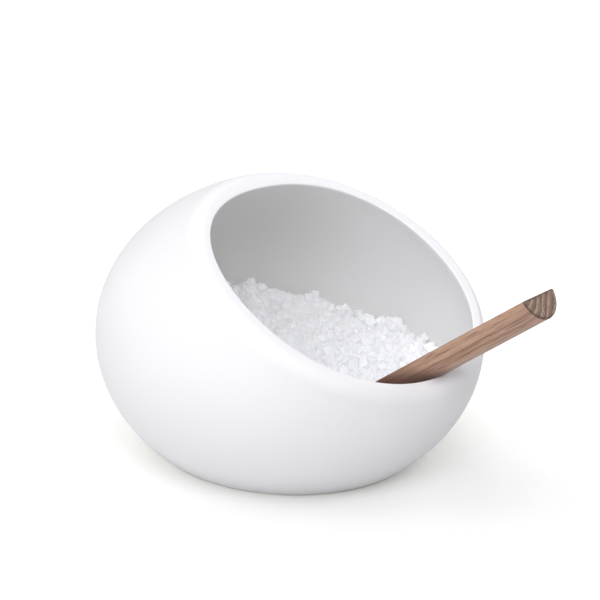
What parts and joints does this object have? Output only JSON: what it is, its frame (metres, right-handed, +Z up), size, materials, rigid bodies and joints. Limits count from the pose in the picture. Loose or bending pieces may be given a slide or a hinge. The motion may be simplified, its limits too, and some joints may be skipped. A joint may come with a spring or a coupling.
{
  "type": "salt cellar",
  "caption": "Round open salt cellar with a leaning mouth, filled with coarse salt, and a half-round wooden spoon that draws out over the lip.",
  "frame": {"origin": "middle of the flat base, on the table", "axes": "+Z up; the mouth leans towards -Y, where the spoon comes out"},
  "size_m": [0.105, 0.1332, 0.0717],
  "materials": {
    "glaze": "satin",
    "salt": "satin",
    "wood": "matte"
  },
  "bodies": {
    "vessel": {"pot": "glaze", "salt": "salt"},
    "spoon": {"spoon": "wood"}
  },
  "joints": [
    {"name": "spoon_lift", "type": "slide", "parent": "vessel", "child": "spoon", "axis": [0, -0.788, 0.6157], "range_m": [0, 0.06]}
  ]
}
